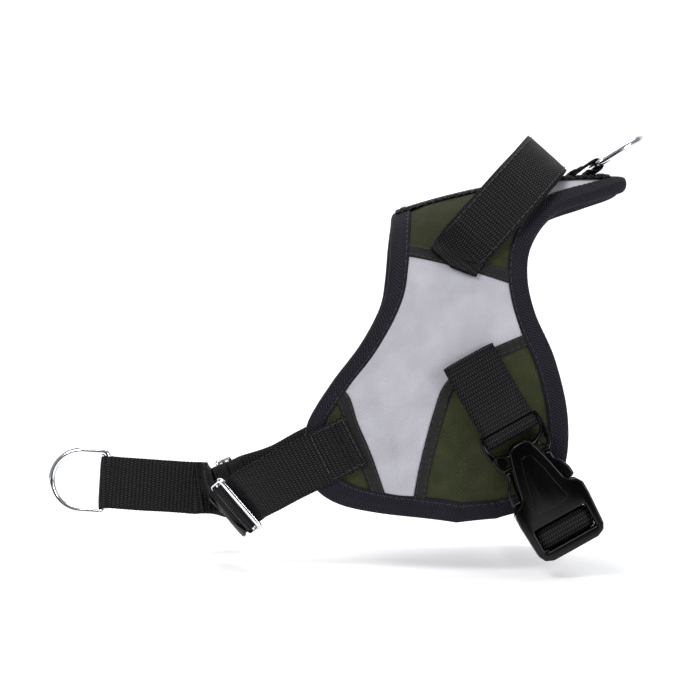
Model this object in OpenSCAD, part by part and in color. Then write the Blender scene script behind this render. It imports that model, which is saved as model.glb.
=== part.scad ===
/* [Saddle surface] */
// Radius of the back, across the spine
crest_r = 44; // [40:0.5:48]
// Angle that the back's arc covers on each side of the spine
crest_angle = 66; // [60:1:70]
// Radius of the flanks, across the spine
flank_r = 190; // [170:5:220]
// Place along X of the highest point of the spine
spine_top_x = 68; // [64:1:72]
// Height of the highest point of the spine over the origin
spine_top_z = 7.4; // [6:0.2:9]
// How fast the spine falls away from its highest point, per mm
spine_bend = 0.0016; // [0.001:0.0001:0.002]
// Width of the neck end, as a share of the chest end
neck_share = 0.84; // [0.8:0.01:1]

/* [Layers] */
// Thickness of the mesh lining
lining_t = 0.8; // [0.6:0.1:1]
// Thickness of the foam
foam_t = 3; // [2:0.5:4]
// Thickness of the outer fabric
shell_t = 0.8; // [0.6:0.1:1]
// Thickness of the flat ribbons over the seams
ribbon_t = 0.6; // [0.4:0.1:0.8]
// Width of the flat ribbons over the seams
ribbon_w = 5.4; // [4:0.2:7]
// Thickness of the edge binding
binding_t = 0.8; // [0.6:0.1:1]
// Width of the edge binding on each face
binding_w = 9; // [7:0.5:11]

/* [Webbing] */
// Width of all the webbing
web_w = 25; // [24:0.5:25]
// Thickness of one layer of webbing
web_t = 1.4; // [1.2:0.1:1.6]

/* [Rings and slides] */
// Wire diameter of the D-rings
ring_wire = 3.3; // [3:0.1:3.5]
// Width inside the D-rings
ring_inside = 25.6; // [25.5:0.1:27]
// Length of the D-rings, from bar centre to tip
ring_reach = 28; // [26:0.5:30]
// Lift of the back ring above level, as worn
back_ring_lift = 32; // [20:1:40]
// Length of the metal slides
slide_l = 31; // [30:0.5:34]
// Width of the metal slides, along the webbing
slide_w = 17; // [16.5:0.5:18]
// Thickness of the metal slides
slide_t = 2.6; // [2:0.2:3]

/* [Buckle] */
// Length of the closed buckle
buckle_l = 62; // [61:0.5:63]
// Thickness of the socket half
buckle_t = 11; // [10:0.5:11]
// Lean of the girth webbing and buckle from upright
girth_lean = 29.13; // [28:0.1:30]

/* [Handle] */
// Slope of the handle loop above level
handle_lift = 48; // [46:1:52]
// Height of the loop above its hinge line, along its slope
handle_rise = 53.5; // [52:0.5:56]
// Half of the spread of the handle's feet
handle_spread = 48; // [47.5:0.5:50]
// Thickness of the doubled handle webbing
handle_t = 2.6; // [2.4:0.1:2.8]

/* [Hidden] */

olive = [0.19, 0.21, 0.13];
silver = [0.75, 0.74, 0.78];
charcoal = [0.14, 0.14, 0.13];
navy_black = [0.09, 0.08, 0.13];
web_black = [0.08, 0.08, 0.09];
plastic_black = [0.1, 0.1, 0.1];
chrome = [0.75, 0.76, 0.78];
mesh_grey = [0.3, 0.3, 0.32];

// Levels of the layers, outward from the lining's inner face
foam_n = lining_t;
shell_n = foam_n + foam_t;
top_n = shell_n + shell_t;
ribbon_n = top_n + ribbon_t;
seam_gap = 1;          // layers end this far inside the binding's fold
fine = 3;              // steps between two points of an outline curve

// --- The saddle's surface: x along the spine, t round the body from the spine, n outward
crest_len = crest_r * crest_angle * PI / 180;
function turn(t) = t <= crest_len ? t / crest_r * 180 / PI
  : crest_angle + (t - crest_len) / flank_r * 180 / PI;
function side(t) = t <= crest_len ? crest_r * sin(turn(t))
  : crest_r * sin(crest_angle) + flank_r * (sin(turn(t)) - sin(crest_angle));
function drop(t) = t <= crest_len ? crest_r * (1 - cos(turn(t)))
  : crest_r * (1 - cos(crest_angle)) + flank_r * (cos(crest_angle) - cos(turn(t)));
function spine_z(x) = spine_top_z - spine_bend * (x - spine_top_x) ^ 2;
neck_x = -90;
full_x = 30;
function ease(s) = s * s * (3 - 2 * s);
function width_share(x) = neck_share
  + (1 - neck_share) * ease(min(1, max(0, (x - neck_x) / (full_x - neck_x))));
// t is positive on the left flank, which faces -Y
function on_body(p, n) = let (t = abs(p[1]), s = p[1] < 0 ? 1 : -1)
  [p[0], s * width_share(p[0]) * (side(t) + n * sin(turn(t))), spine_z(p[0]) - drop(t) + n * cos(turn(t))];

// --- Curves in the flat (x, t) pattern of the saddle
// A curve that starts on the spine is mirrored across it
function knot(pts, i) = i < 0 ? (pts[0][1] == 0 ? [pts[1][0], -pts[1][1]] : 2 * pts[0] - pts[1])
  : i > len(pts) - 1 ? 2 * pts[len(pts) - 1] - pts[len(pts) - 2] : pts[i];
function smooth_at(pts, s) = let (i = min(floor(s), len(pts) - 2), f = s - i,
    a = knot(pts, i - 1), b = knot(pts, i), c = knot(pts, i + 1), d = knot(pts, i + 2))
  0.5 * (2 * b + (c - a) * f + (2 * a - 5 * b + 4 * c - d) * f ^ 2 + (3 * b - a - 3 * c + d) * f ^ 3);
function smooth(pts, from, to, count) =
  [for (i = [0:count]) smooth_at(pts, from + (to - from) * i / count)];

front_edge = [[-38, 0], [-38, 15], [-39, 32], [-40.2, 50], [-43, 64], [-53, 79.5], [-68, 93.5],
  [-78, 107], [-77, 128], [-66, 144.5], [-44, 158.5], [-10, 172.8]];
rear_edge = [[74, 0], [72, 16], [58, 26.5], [38, 36], [25.5, 52], [22.5, 68], [25.5, 86],
  [34, 108], [39.5, 134], [38, 157], [28.5, 171], [8, 174.9]];
edge_knots = len(front_edge) - 1;

// Seam lines between the panels, as curves that start and end on the edge
yoke_seam = [[-40, 38], [-31, 42.5], [13, 67], [23, 72.5]];
girth_seam = [[31, 95.5], [18, 98.5], [-2, 104], [-13, 111], [-17.5, 120.5], [-24, 142], [-28, 165]];
chest_seam = [[-70, 94.5], [-61.5, 101], [-57, 115], [-50, 134], [-42, 159.5]];
// Where those seams meet the front and rear edge curves
yoke_front_s = 2.35;
yoke_rear_s = 5.25;
chest_top_s = 6.1;
chest_low_s = 10.05;
girth_top_s = 6.45;
girth_low_s = 10.47;
tongue_x = 27;

function flip(pts) = [for (p = pts) [p[0], -p[1]]];
function back_to_front(pts) = [for (i = [len(pts) - 1:-1:0]) pts[i]];
function hat(v) = v / norm(v);
function left_of(v) = [-v[1], v[0]];
// Moves a line of pattern points sideways, to its left
function shifted(pts, d) = let (last = len(pts) - 1)
  [for (i = [0:last]) pts[i] + d * left_of(hat(pts[min(i + 1, last)] - pts[max(i - 1, 0)]))];

// --- Solids on the surface
// A closed skin between two lines of pattern points, from level n0 to level n1
module skin(low, high, n0, n1, columns) {
  rows = len(low);
  across = columns + 1;
  grid = [for (n = [n0, n1]) for (r = [0:rows - 1]) for (c = [0:columns])
    on_body(low[r] + (high[r] - low[r]) * c / columns, n)];
  layer = rows * across;
  function at(k, r, c) = k * layer + r * across + c;
  faces = concat(
    [for (r = [0:rows - 2]) for (c = [0:columns - 1]) each
      [[at(0, r, c), at(0, r, c + 1), at(0, r + 1, c)],
       [at(0, r, c + 1), at(0, r + 1, c + 1), at(0, r + 1, c)],
       [at(1, r, c), at(1, r + 1, c), at(1, r, c + 1)],
       [at(1, r, c + 1), at(1, r + 1, c), at(1, r + 1, c + 1)]]],
    [for (c = [0:columns - 1]) each
      [[at(0, 0, c), at(1, 0, c), at(0, 0, c + 1)],
       [at(0, 0, c + 1), at(1, 0, c), at(1, 0, c + 1)],
       [at(0, rows - 1, c), at(0, rows - 1, c + 1), at(1, rows - 1, c)],
       [at(0, rows - 1, c + 1), at(1, rows - 1, c + 1), at(1, rows - 1, c)]]],
    [for (r = [0:rows - 2]) each
      [[at(0, r, 0), at(0, r + 1, 0), at(1, r, 0)],
       [at(0, r + 1, 0), at(1, r + 1, 0), at(1, r, 0)],
       [at(0, r, columns), at(1, r, columns), at(0, r + 1, columns)],
       [at(0, r + 1, columns), at(1, r, columns), at(1, r + 1, columns)]]]);
  polyhedron(grid, faces, convexity = 8);
}

// The same skin on the other flank
module skin_right(low, high, n0, n1, columns)
  skin(back_to_front(flip(low)), back_to_front(flip(high)), n0, n1, columns);

function half_line(pts) = smooth(pts, 0, edge_knots, edge_knots * fine);
function without_first(pts) = [for (i = [1:len(pts) - 1]) pts[i]];
// A half line and its mirror image, as one line from the right side to the left
function whole(pts) = concat(back_to_front(flip(pts)), without_first(pts));
front_line = shifted(whole(half_line(front_edge)), -seam_gap);
rear_line = shifted(whole(half_line(rear_edge)), seam_gap);

module foam_core() color(mesh_grey) skin(front_line, rear_line, foam_n, shell_n, 8);

module inner_lining() color(mesh_grey) skin(front_line, rear_line, 0, lining_t, 8);

// The yoke's rear side is straight along the tongue's seam, then follows the rear edge
yoke_rows = 8;
straight_rows = 5;
straight_half = 44;
rear_step = 0.42;
yoke_low = shifted(smooth(front_edge, 0, yoke_front_s, yoke_rows), -seam_gap);
yoke_high = concat([for (i = [0:straight_rows - 1]) [tongue_x, straight_half * i / straight_rows]],
  [for (i = [straight_rows:yoke_rows])
    smooth_at(rear_edge, yoke_rear_s - rear_step * (yoke_rows - i)) - [seam_gap, 0]]);

module yoke_panel() color(olive) skin(whole(yoke_low), whole(yoke_high), shell_n, top_n, 6);

// The tongue covers the rear end of the back
tongue_rows = 9;
tongue_half = 38;
tongue_end_s = 3.2;
tongue_gap = 0.4;
tongue_low = [for (i = [0:tongue_rows]) [tongue_x + tongue_gap, tongue_half * i / tongue_rows]];
tongue_high = shifted(smooth(rear_edge, 0, tongue_end_s, tongue_rows), seam_gap);

module tongue_panel() color(silver) skin(whole(tongue_low), whole(tongue_high), shell_n, top_n, 4);

reflective_low = concat(shifted(smooth(front_edge, yoke_front_s + 0.05, chest_top_s, 8), -seam_gap),
  smooth(chest_seam, 0.3, len(chest_seam) - 1.1, 10));
reflective_high = concat(shifted(smooth(rear_edge, yoke_rear_s + 0.05, girth_top_s, 8), seam_gap),
  smooth(girth_seam, 0.3, len(girth_seam) - 1.1, 10));

module reflective_panel_left() color(silver) skin(reflective_low, reflective_high, shell_n, top_n, 7);

module reflective_panel_right() color(silver)
  skin_right(reflective_low, reflective_high, shell_n, top_n, 7);

girth_low = smooth(girth_seam, 0.3, len(girth_seam) - 1.15, 14);
girth_high = concat(shifted(smooth(rear_edge, girth_top_s + 0.15, edge_knots, 11), seam_gap),
  back_to_front(shifted(smooth(front_edge, girth_low_s + 0.2, edge_knots, 2), -seam_gap)));

module girth_panel_left() color(olive) skin(shifted(girth_low, -0.3), girth_high, shell_n, top_n, 4);

module girth_panel_right() color(olive)
  skin_right(shifted(girth_low, -0.3), girth_high, shell_n, top_n, 4);

chest_low = shifted(smooth(front_edge, chest_top_s + 0.25, chest_low_s - 0.15, 12), -seam_gap);
chest_high = shifted(smooth(chest_seam, 0.35, len(chest_seam) - 1.15, 12), 0.3);

module chest_panel_left() color(olive) skin(chest_low, chest_high, shell_n, top_n, 3);

module chest_panel_right() color(olive) skin_right(chest_low, chest_high, shell_n, top_n, 3);

// A ribbon centred on a seam, inside the binding
module seam_ribbon(seam, from, to, rows, right) {
  middle = smooth(seam, from, to, rows);
  a = shifted(middle, ribbon_w / 2);
  b = shifted(middle, -ribbon_w / 2);
  if (right) skin_right(a, b, top_n, ribbon_n, 1);
  else skin(a, b, top_n, ribbon_n, 1);
}

module yoke_ribbon_left() color(charcoal) seam_ribbon(yoke_seam, 0.9, 2.1, 8, false);

module yoke_ribbon_right() color(charcoal) seam_ribbon(yoke_seam, 0.9, 2.1, 8, true);

module girth_ribbon_left() color(charcoal) seam_ribbon(girth_seam, 0.8, 5.6, 16, false);

module girth_ribbon_right() color(charcoal) seam_ribbon(girth_seam, 0.8, 5.6, 16, true);

module chest_ribbon_left() color(charcoal) seam_ribbon(chest_seam, 0.9, 3.6, 12, false);

module chest_ribbon_right() color(charcoal) seam_ribbon(chest_seam, 0.9, 3.6, 12, true);

// The binding is one folded tape round the whole edge
edge_loop = concat(half_line(rear_edge), back_to_front(half_line(front_edge)));
mirror_loop = flip([for (i = [1:len(edge_loop) - 2]) edge_loop[i]]);
whole_edge = concat(back_to_front(mirror_loop), edge_loop);

module edge_binding() {
  count = len(whole_edge);
  tape = [[binding_w, top_n + binding_t], [0, top_n + binding_t], [0, -binding_t], [binding_w, -binding_t],
    [binding_w, 0], [seam_gap - 0.1, 0], [seam_gap - 0.1, top_n], [binding_w, top_n]];
  corners = len(tape);
  inward = [for (i = [0:count - 1])
    left_of(hat(whole_edge[(i + 1) % count] - whole_edge[(i + count - 1) % count]))];
  points = [for (i = [0:count - 1]) for (c = tape) on_body(whole_edge[i] + c[0] * inward[i], c[1])];
  function at(i, c) = (i % count) * corners + c % corners;
  faces = [for (i = [0:count - 1]) for (c = [0:corners - 1]) each
    [[at(i, c), at(i + 1, c), at(i, c + 1)], [at(i, c + 1), at(i + 1, c), at(i + 1, c + 1)]]];
  color(navy_black) polyhedron(points, faces, convexity = 8);
}

// Flat webbing along the top of the back, just clear of the binding
spine_ends = [-36, 66];
spine_n = top_n + binding_t + 0.05;
spine_steps = 5;
function across_spine(x) = [for (t = [-spine_steps:spine_steps]) [x, t / spine_steps * web_w / 2]];

module spine_webbing() color(web_black)
  skin(across_spine(spine_ends[0]), across_spine(spine_ends[1]), spine_n, spine_n + web_t, 12);

// --- Webbing away from the surface
// The outline of a flat strap seen from its edge
function stroke(path, t) = concat(shifted(path, t / 2), back_to_front(shifted(path, -t / 2)));
function arc(centre, r, from, to, count) = [for (i = [0:count])
  centre + r * [cos(from + (to - from) * i / count), sin(from + (to - from) * i / count)]];

// Places a shape by the directions of its own X and Y
module placed(origin, x_dir, y_dir) {
  x = hat(x_dir);
  z = hat(cross(x, y_dir));
  y = cross(z, x);
  multmatrix([[x[0], y[0], z[0], origin[0]], [x[1], y[1], z[1], origin[1]],
    [x[2], y[2], z[2], origin[2]], [0, 0, 0, 1]]) children();
}

// A strap swept along points in space, each with the direction of its width
module swept_strap(points, width_dirs, t) {
  last = len(points) - 1;
  function along(i) = hat(points[min(i + 1, last)] - points[max(i - 1, 0)]);
  function out(i) = hat(cross(along(i), width_dirs[i]));
  function wide(i) = hat(cross(out(i), along(i)));
  corners = [[-1, -1], [1, -1], [1, 1], [-1, 1]];
  verts = [for (i = [0:last]) for (c = corners)
    points[i] + c[0] * web_w / 2 * wide(i) + c[1] * t / 2 * out(i)];
  faces = concat([[0, 1, 2], [0, 2, 3]],
    [[4 * last, 4 * last + 2, 4 * last + 1], [4 * last, 4 * last + 3, 4 * last + 2]],
    [for (i = [0:last - 1]) for (c = [0:3]) let (d = (c + 1) % 4) each
      [[4 * i + c, 4 * i + 4 + c, 4 * i + d], [4 * i + d, 4 * i + 4 + c, 4 * i + 4 + d]]]);
  polyhedron(verts, faces, convexity = 10);
}

// --- Back ring and its tab
back_bar = [60, 17.75];

module back_ring_tab() color(web_black) {
  wrap_r = ring_wire / 2 + 0.3 + web_t / 2;
  path = concat([[47.5, 14.35], [50, 14.75], [53.5, 16.6]], arc(back_bar, wrap_r, 125, -50, 10),
    [[59.5, 14.95], [56, 14.95]]);
  translate([0, web_w / 2, 0]) rotate([90, 0, 0]) linear_extrude(web_w) polygon(stroke(path, web_t));
}

// A D-ring with its bar on Z and its curve towards +X
module d_ring() {
  half = ring_inside / 2 + ring_wire / 2;
  leg = ring_reach - ring_wire / 2 - half;
  translate([0, 0, -half]) cylinder(d = ring_wire, h = 2 * half, $fn = 32);
  for (z = [-half, half]) translate([0, 0, z]) {
    sphere(d = ring_wire, $fn = 32);
    rotate([0, 90, 0]) cylinder(d = ring_wire, h = leg, $fn = 32);
  }
  translate([leg, 0, 0]) rotate([90, 0, 0]) rotate([0, 0, -90]) rotate_extrude(angle = 180, $fn = 96)
    translate([half, 0]) circle(d = ring_wire, $fn = 32);
}

module back_ring() color(chrome)
  placed([back_bar[0], 0, back_bar[1]], [cos(back_ring_lift), 0, sin(back_ring_lift)],
    [-sin(back_ring_lift), 0, cos(back_ring_lift)]) d_ring();

// --- Handle
handle_foot = [0.7, -16.2];
handle_up = [cos(handle_lift), 0, sin(handle_lift)];
handle_across = [0, 1, 0];
handle_steps = 28;
handle_loop = [for (i = [0:handle_steps]) let (a = 180 * i / handle_steps)
  [handle_spread * cos(a), handle_rise * sin(a)]];

module handle() color(web_black)
  placed([handle_foot[0], 0, handle_foot[1]], handle_across, handle_up)
    translate([0, 0, -web_w / 2]) linear_extrude(web_w)
      polygon(stroke(handle_loop, handle_t));

handle_end_n = ribbon_n + 0.6 + web_t / 2;
handle_end_low = [-10.5, 55];
handle_end_high = [-7.9, 51.3];
// Front and back corners of the sewn end
sewn_front = [-19.8, 46.6];
sewn_back = [-1.2, 63.4];
foot_gap = 0.35;

// The sewn end lies over the ribbon and lifts off to meet the loop's foot
module handle_end(s) {
  foot = [handle_foot[0], -s * handle_spread, handle_foot[1]];
  low_wide = on_body([sewn_back[0], s * sewn_back[1]], handle_end_n)
    - on_body([sewn_front[0], s * sewn_front[1]], handle_end_n);
  sewn = [for (p = [handle_end_low, handle_end_high]) on_body([p[0], s * p[1]], handle_end_n)];
  points = smooth(concat(sewn, [foot - 4 * handle_up, foot - foot_gap * handle_up]), 0, 3, 8);
  loop_wide = cross(handle_across, handle_up);
  swept_strap(points, [for (i = [0:8]) hat(low_wide) * (1 - i / 8) + loop_wide * i / 8], web_t);
}

module handle_end_left() color(web_black) handle_end(1);

module handle_end_right() color(web_black) handle_end(-1);

// --- Chest straps, slides and ring
// Each slide has its centre, its strap direction and its long direction
slide_left_at = [-111, -30, -143.6];
slide_left_dir = [-0.338, 0.89, -0.289];
slide_left_long = [0.651, 0, -0.759];
slide_right_at = [-117, 28, -139];
slide_right_dir = [-0.32, -0.94, -0.12];
slide_right_long = [0.34, 0, -0.94];
bar_w = 2.4;
corner_cut = 3;
slide_bar = slide_w / 2 - bar_w / 2;
chest_bar = [-176, 0, -134.6];

// A point in a slide's own frame: a along the strap, b out of the slide's face
function in_slide(at, dir, long, a, b) = let (x = hat(dir - long * (dir * long) / (long * long)),
    z = hat(cross(x, long))) at + a * x + b * z;

module metal_slide(at, dir, long) {
  placed(at, dir, long) difference() {
    translate([0, 0, -slide_t / 2]) linear_extrude(slide_t) difference() {
      square([slide_w, slide_l], center = true);
      for (x = [-1, 1]) translate([x * slide_bar / 2, 0])
        square([slide_bar - bar_w, slide_l - 2 * bar_w], center = true);
    }
    for (x = [-1, 1]) for (y = [-1, 1]) translate([x * slide_w / 2, y * slide_l / 2, 0]) rotate([0, 0, 45])
      cube([corner_cut, corner_cut, 2 * slide_t], center = true);
  }
}

module slide_left() color(chrome) metal_slide(slide_left_at, slide_left_dir, slide_left_long);

module slide_right() color(chrome) metal_slide(slide_right_at, slide_right_dir, slide_right_long);

wrap_r = bar_w / 2 + 0.75 + web_t / 2;
// Turns of webbing round the middle bar and round the front bar of a slide
function middle_wrap(at, dir, long, s) = [for (a = [-90:30:120])
  in_slide(at, dir, long, wrap_r * cos(a), s * wrap_r * sin(a))];
function front_wrap(at, dir, long, s) = [for (a = [270:-30:90])
  in_slide(at, dir, long, slide_bar + wrap_r * cos(a), s * wrap_r * sin(a))];

// The stub runs forward on the flank, round the neck opening's edge and into the slide
function stub_points(y, at, dir, long, s) = let (entry = in_slide(at, dir, long, -14, -s * (wrap_r + 0.9)))
  concat(smooth([[-55.5, y * 55.2, -111.4], [-68, y * 54.2, -117.8], [-80, y * 52.2, -123.9],
    [-93, y * 47.5, -131], [entry[0], entry[1], entry[2]],
    in_slide(at, dir, long, -7, -s * (wrap_r + 0.1))], 0, 5, 15),
    middle_wrap(at, dir, long, s));

stub_long = [0.454, 0, -0.891];
module chest_stub(y, at, dir, long, s) {
  points = stub_points(y, at, dir, long, s);
  twist = [for (i = [0:len(points) - 1]) stub_long + (hat(long) - stub_long) * ease(min(1, i / 14))];
  swept_strap(points, twist, web_t);
}

module chest_stub_left() color(web_black)
  chest_stub(-1, slide_left_at, slide_left_dir, slide_left_long, 1);

module chest_stub_right() color(web_black)
  chest_stub(1, slide_right_at, slide_right_dir, slide_right_long, -1);

// One webbing runs from the left slide, along to the ring's bar, round it and back to the right slide
ring_wrap_r = ring_wire / 2 + 0.3 + web_t / 2;
layer_y = 1.1;           // half the spacing of the two layers behind the ring
ring_long = [-0.06, 0, -0.998];
function leg_points(y, at, dir, long, s) = let (out = in_slide(at, dir, long, 14, s * 1.6))
  concat(front_wrap(at, dir, long, s),
    smooth([in_slide(at, dir, long, slide_bar + 1, s * (wrap_r + 0.1)), out,
      [-127, y * 3.2, -138], [-134, y * layer_y, -137.4], [-168, y * layer_y, -135.2]], 0.3, 4, 12));

function leg_long(long, i) = hat(long) + (ring_long - hat(long)) * ease(min(1, max(0, (i - 10) / 7)));

module chest_webbing() color(web_black) {
  left = leg_points(-1, slide_left_at, slide_left_dir, slide_left_long, 1);
  right = leg_points(1, slide_right_at, slide_right_dir, slide_right_long, -1);
  count = len(left) - 1;
  round_bar = [for (a = [-60:-30:-300]) chest_bar + ring_wrap_r * [cos(a), sin(a), 0]];
  points = concat(left, round_bar, back_to_front(right));
  dirs = concat([for (i = [0:count]) leg_long(slide_left_long, i)], [for (p = round_bar) ring_long],
    [for (i = [count:-1:0]) leg_long(slide_right_long, i)]);
  swept_strap(points, dirs, web_t);
}

// Two zigzag bartacks behind the ring, on both faces of the doubled webbing
bartack_at = [-169.5, 0, -135];
bartack_step = 6;
bartack_size = [2.4, 0.5, 21];
bartack_y = layer_y + web_t / 2 + 0.3;
module chest_bartack() color(charcoal)
  for (i = [0, 1]) for (y = [-1, 1])
    translate(bartack_at + bartack_step * [i, 0, i * ring_long[0]] + [0, y * bartack_y, 0])
      cube(bartack_size, center = true);

module chest_ring() color(chrome) placed(chest_bar, [ring_long[2], 0, -ring_long[0]], [0, 1, 0]) d_ring();

// --- Girth strap and buckle. Own frame: X down the strap from the plug's bar, Y across it
girth_dir = [sin(girth_lean), 0, -cos(girth_lean)];
girth_wide = [cos(girth_lean), 0, sin(girth_lean)];
buckle_at = [11.5, -68, -103.9];
plug_bar_x = 3;
plug_bar_r = 1.8;
web_bar_x = 51.5;
web_bar_r = 1.9;
bar_gap = 0.35;

module girth_stub() color(web_black) {
  fold_r = plug_bar_r + bar_gap + web_t / 2;
  path = concat([[-31, 7.4], [-14, 5.1], [-5, 3.4]], arc([plug_bar_x, 0], fold_r, 120, -120, 10),
    [[-5, -0.2], [-14, 3.3], [-31, 5.8]]);
  placed(buckle_at, girth_dir, [0, 1, 0])
    translate([0, 0, -web_w / 2]) linear_extrude(web_w) polygon(stroke(path, web_t));
}

// The belly strap turns round the socket's bar, crosses under the body and climbs the right flank
belly_line = [[50, -50], [47, -25], [46, 5], [46, 35], [44.5, 55], [38, 62.6],
  [28, 63.6], [12, 64.4], [-6, 63.6], [-20, 62], [-33, 60.8]];
module belly_strap() color(web_black) {
  fold_r = web_bar_r + bar_gap + web_t / 2;
  bar = [web_bar_x, buckle_at[1]];
  path = concat([[44, -40]], arc(bar, fold_r, 140, 400, 14),
    smooth(concat([bar + fold_r * [cos(40), sin(40)]], belly_line), 0.4, 11, 33));
  placed([buckle_at[0], 0, buckle_at[2]], girth_dir, [0, 1, 0])
    translate([0, 0, -web_w / 2]) linear_extrude(web_w) polygon(stroke(path, web_t));
}

module in_buckle() placed(buckle_at, girth_dir, girth_wide) children();

// The outline of a shape that is the same on both sides of the X axis
function both_sides(half) = concat(half, [for (i = [len(half) - 1:-1:0]) [half[i][0], -half[i][1]]]);
plug_t = 6;
plug_root = 18.2;
plug_half = concat([[-0.6, 13.6]],
  smooth([[1, 14.3], [5, 15], [11, 14.7], [16, 13.1], [plug_root, 11.4]], 0, 4, 8));
opening_half = concat([[-1, 12.9], [5.2, 12.9]],
  smooth([[6.5, 12.7], [9.6, 11.2], [11.6, 7], [12.2, 0.1]], 0, 3, 6));
ear_hole = [[10.9, 13.2], [16.2, 11.4], [13.6, 8.6]];
plug_bar_l = 27.2;
// The guide between the latch arms, and its wider tip
guide_x = 26;
guide = [16, 5, 3];
guide_tip_x = 35;
guide_tip = [5, 7.5, 3];

module buckle_male() color(plastic_black) in_buckle() {
  translate([0, 0, -plug_t / 2]) linear_extrude(plug_t) difference() {
    polygon(both_sides(plug_half));
    polygon(both_sides(opening_half));
    for (s = [-1, 1]) polygon([for (p = ear_hole) [p[0], s * p[1]]]);
  }
  translate([plug_bar_x, plug_bar_l / 2, 0]) rotate([90, 0, 0])
    cylinder(r = plug_bar_r, h = plug_bar_l, $fn = 48);
  translate([guide_x, 0, 0]) cube(guide, center = true);
  translate([guide_tip_x, 0, 0]) cube(guide_tip, center = true);
}

// One springy arm, apart from the plug so that it can be pinched
arm_gap = 0.3;
arm_t = 4.8;
module latch_arm() {
  root_x = plug_root + arm_gap;
  outer = smooth([[root_x, 11.3], [22, 11.4], [25.6, 13.9], [29, 15.3], [32.6, 15.6], [33.6, 14.4]],
    0, 5, 15);
  inner = smooth([[33.6, 10.8], [28, 10], [22, 8.8], [root_x, 8.4]], 0, 3, 8);
  translate([0, 0, -arm_t / 2]) linear_extrude(arm_t) polygon(concat(outer, inner));
}

module latch_arm_front() color(plastic_black) in_buckle() mirror([0, 1, 0]) latch_arm();

module latch_arm_rear() color(plastic_black) in_buckle() latch_arm();

socket_nose = [[9.3, 2.5], [10.6, 5.2], [15.5, 6.8], [24, 9], [31.5, 10.6], [33.6, 12.2], [35, 15.2],
  [37.5, 17], [43, 17.1]];
socket_half = concat([[9.1, 0.1]], smooth(socket_nose, 0, 8, 20),
  smooth([[57.5, 16.2], [60.4, 14.6], [buckle_l, 11]], 0, 2, 4));
window = [46.4, 59];
window_l = 27.6;
mouth_x = 22;
mouth = [30, 40, 6.6];
latch_room_x = 38;
latch_room = [6, 26, 6.6];

module buckle_female() color(plastic_black) in_buckle() {
  difference() {
    translate([0, 0, -buckle_t / 2]) linear_extrude(buckle_t) polygon(both_sides(socket_half));
    // The mouth and the room for the latch arms
    translate([mouth_x, 0, 0]) cube(mouth, center = true);
    translate([latch_room_x, 0, 0]) cube(latch_room, center = true);
    translate([(window[0] + window[1]) / 2, 0, 0])
      cube([window[1] - window[0], window_l, 2 * buckle_t], center = true);
  }
  translate([web_bar_x, window_l / 2 + 0.5, 0]) rotate([90, 0, 0])
    cylinder(r = web_bar_r, h = window_l + 1, $fn = 48);
}

foam_core();
inner_lining();
yoke_panel();
tongue_panel();
reflective_panel_left();
reflective_panel_right();
girth_panel_left();
girth_panel_right();
chest_panel_left();
chest_panel_right();
yoke_ribbon_left();
yoke_ribbon_right();
girth_ribbon_left();
girth_ribbon_right();
chest_ribbon_left();
chest_ribbon_right();
edge_binding();
spine_webbing();
back_ring_tab();
back_ring();
handle_end_left();
handle_end_right();
handle();
chest_stub_left();
chest_stub_right();
slide_left();
slide_right();
chest_webbing();
chest_bartack();
chest_ring();
girth_stub();
belly_strap();
buckle_male();
latch_arm_front();
latch_arm_rear();
buckle_female();
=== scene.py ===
import math

import bmesh
import bpy
import numpy as np
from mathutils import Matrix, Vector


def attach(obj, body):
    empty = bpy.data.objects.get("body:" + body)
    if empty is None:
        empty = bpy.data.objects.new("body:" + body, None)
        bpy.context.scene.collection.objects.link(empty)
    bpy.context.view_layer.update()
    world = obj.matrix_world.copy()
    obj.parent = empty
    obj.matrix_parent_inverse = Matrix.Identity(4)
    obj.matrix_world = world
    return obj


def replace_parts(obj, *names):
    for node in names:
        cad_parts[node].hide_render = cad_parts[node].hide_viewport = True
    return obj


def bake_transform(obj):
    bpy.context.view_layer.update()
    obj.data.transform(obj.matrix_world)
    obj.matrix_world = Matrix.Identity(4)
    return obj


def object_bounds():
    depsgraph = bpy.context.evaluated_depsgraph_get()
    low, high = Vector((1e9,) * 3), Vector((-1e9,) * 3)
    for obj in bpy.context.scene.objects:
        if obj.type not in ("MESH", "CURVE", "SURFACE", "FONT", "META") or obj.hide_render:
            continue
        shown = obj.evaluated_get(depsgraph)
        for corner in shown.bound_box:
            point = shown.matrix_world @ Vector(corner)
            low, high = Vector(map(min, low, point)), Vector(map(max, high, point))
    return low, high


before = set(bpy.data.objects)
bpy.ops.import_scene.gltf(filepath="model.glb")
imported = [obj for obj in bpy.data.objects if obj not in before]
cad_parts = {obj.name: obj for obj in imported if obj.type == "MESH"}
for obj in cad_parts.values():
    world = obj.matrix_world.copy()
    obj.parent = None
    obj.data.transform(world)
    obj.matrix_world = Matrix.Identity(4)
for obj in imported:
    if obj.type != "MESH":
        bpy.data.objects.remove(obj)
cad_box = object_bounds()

# Geometry is worked out in millimetres and written to the meshes in metres.
MM = 0.001
X_AXIS, _, Z_AXIS = np.eye(3)
scene = bpy.context.scene

# ------------ the saddle's surface
CREST_R, CREST_ANGLE, FLANK_R = 44.0, math.radians(66), 190.0
SPINE_TOP_X, SPINE_TOP_Z, SPINE_BEND = 68.0, 7.4, 0.0016
NECK_SHARE, NECK_X, FULL_X = 0.84, -90.0, 30.0
CREST_LEN = CREST_R * CREST_ANGLE
LINING_N, SHELL_N, TOP_N = 0.8, 3.8, 4.6
RIBBON_T, RIBBON_W = 0.6, 5.4
WEB_W, WEB_T = 25.0, 1.4


def ease(s):
    s = np.clip(s, 0, 1)
    return s * s * (3 - 2 * s)


def spine_z(x):
    return SPINE_TOP_Z - SPINE_BEND * (x - SPINE_TOP_X) ** 2


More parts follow.
